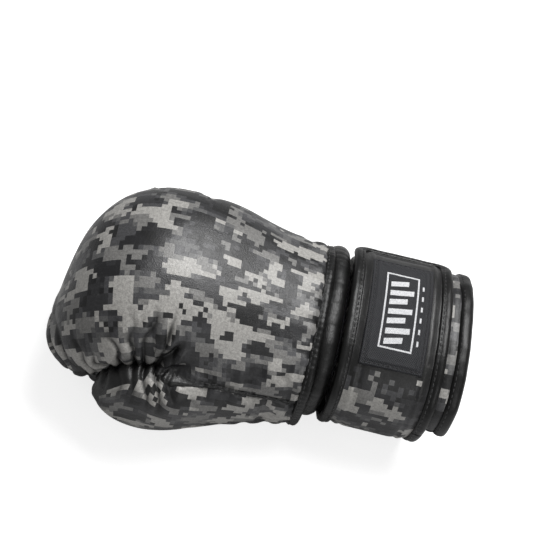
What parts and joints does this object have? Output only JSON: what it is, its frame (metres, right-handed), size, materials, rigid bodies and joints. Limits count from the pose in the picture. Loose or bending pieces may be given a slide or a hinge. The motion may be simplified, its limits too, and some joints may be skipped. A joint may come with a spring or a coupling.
{
  "type": "boxing glove",
  "caption": "Padded right-hand boxing glove with an attached thumb, a soft neck and a hook-and-loop wrist strap that peels open.",
  "frame": {"origin": "middle of the footprint, on the surface that the glove rests on, palm down", "axes": "+X from the fist to the cuff, -Y to the thumb side, +Z out of the back of the hand"},
  "size_m": [0.268, 0.1541, 0.115],
  "materials": {
    "camo_leather": "satin",
    "black_leather": "satin",
    "binding_leather": "satin",
    "strap_leather": "satin",
    "foam": "matte",
    "lining_cloth": "matte",
    "webbing": "matte",
    "elastic_web": "matte",
    "loop_pile": "matte",
    "hook_tape": "matte",
    "patch_satin": "satin",
    "emblem_print": "satin"
  },
  "bodies": {
    "hand": {"back_panel": "camo_leather", "palm_panel": "black_leather", "finger_panel": "black_leather", "side_panel": "camo_leather", "knuckle_foam": "foam", "base_foam": "foam", "palm_foam": "foam", "side_foam": "foam", "hand_lining": "lining_cloth", "grip_bar": "foam", "hem_binding": "binding_leather", "thumb_tether": "black_leather", "neck_roll": "black_leather", "neck_lining": "lining_cloth"},
    "thumb": {"thumb_outer_panel": "camo_leather", "thumb_inner_panel": "black_leather", "thumb_foam": "foam", "thumb_lining": "lining_cloth"},
    "cuff": {"cuff_shell": "camo_leather", "cuff_foam": "foam", "cuff_lining": "lining_cloth", "cuff_end_binding": "binding_leather", "wrist_gusset": "elastic_web", "loop_panel": "loop_pile", "strap_root_leather": "strap_leather", "strap_root_core": "webbing", "strap_root_binding": "binding_leather"},
    "strap_side": {"strap_side_leather": "strap_leather", "strap_side_core": "webbing", "strap_side_binding": "binding_leather"},
    "strap_end": {"strap_end_leather": "strap_leather", "strap_end_core": "webbing", "strap_end_binding": "binding_leather", "hook_panel": "hook_tape", "strap_patch": "patch_satin", "patch_emblem": "emblem_print"}
  },
  "joints": [
    {"name": "wrist_flex", "type": "hinge", "parent": "hand", "child": "cuff", "pos_m": [0.0445, 0.014, 0.046], "axis": [0, 1, 0], "range_deg": [-6, 6], "stiffness_Nm_per_rad": 3, "deforming": ["neck_roll", "neck_lining"]},
    {"name": "thumb_spread", "type": "hinge", "parent": "hand", "child": "thumb", "pos_m": [-0.042, -0.07335, 0.0405], "axis": [0, 0, 1], "range_deg": [0, 6], "stiffness_Nm_per_rad": 2, "deforming": ["thumb_tether"]},
    {"name": "strap_swing", "type": "hinge", "parent": "cuff", "child": "strap_side", "pos_m": [0.051, -0.02894, 0.00734], "axis": [1, 0, 0], "range_deg": [0, 80]},
    {"name": "strap_peel", "type": "hinge", "parent": "strap_side", "child": "strap_end", "pos_m": [0.051, -0.02699, 0.08291], "axis": [1, 0, 0], "range_deg": [0, 110]}
  ]
}
